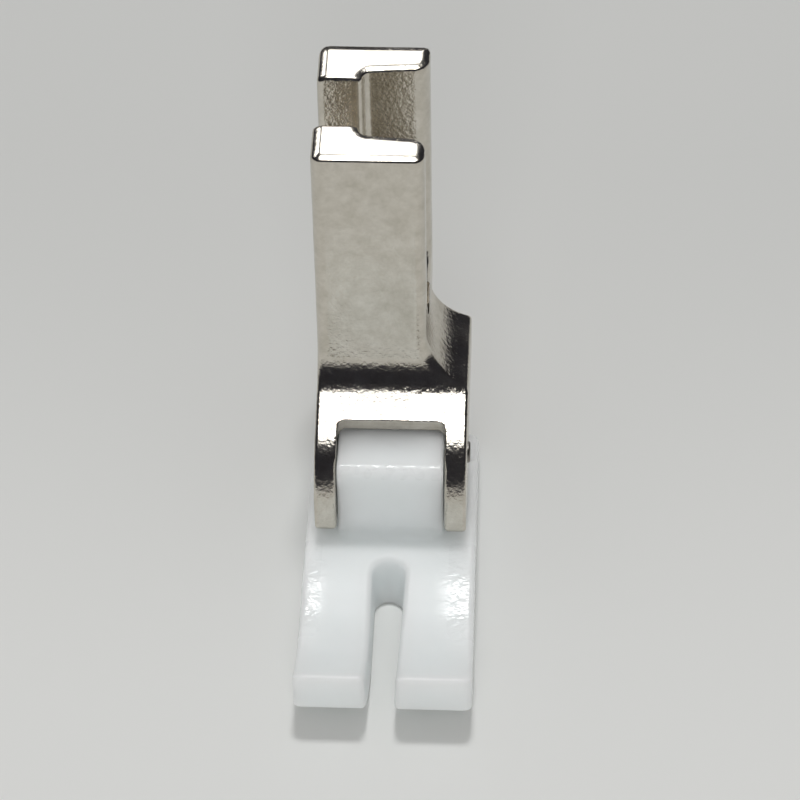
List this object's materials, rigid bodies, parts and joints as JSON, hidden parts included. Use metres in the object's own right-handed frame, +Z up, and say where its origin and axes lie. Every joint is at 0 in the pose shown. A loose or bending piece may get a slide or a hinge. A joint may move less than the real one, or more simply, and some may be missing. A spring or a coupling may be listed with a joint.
{
  "type": "sewing machine presser foot",
  "caption": "Hinged sewing machine presser foot: a plated channel shank with an open screw slot, and a smooth white plastic sole with upturned toes that tilts on a cross pin.",
  "frame": {"origin": "on the ground under the middle of the whole foot's box, with the sole flat on the ground", "axes": "+Z up along the shank, -Y towards the toes, and +X towards the open side of the shank's channel"},
  "size_m": [0.0128, 0.0354, 0.0337],
  "materials": {
    "nickel_plate": "bright nickel plate over a lightly pitted steel casting",
    "pin_steel": "plain ground steel pin with rounded ends",
    "white_plastic": "waxy, slightly translucent white PTFE, moulded smooth"
  },
  "bodies": {
    "shank": {"shank": "nickel_plate", "hinge_pin": "pin_steel"},
    "sole": {"sole": "white_plastic"}
  },
  "joints": [
    {"name": "sole_tilt", "type": "hinge", "parent": "shank", "child": "sole", "pos_m": [0, 0.00118, 0.0088], "axis": [-1, 0, 0], "range_deg": [0, 12]}
  ]
}
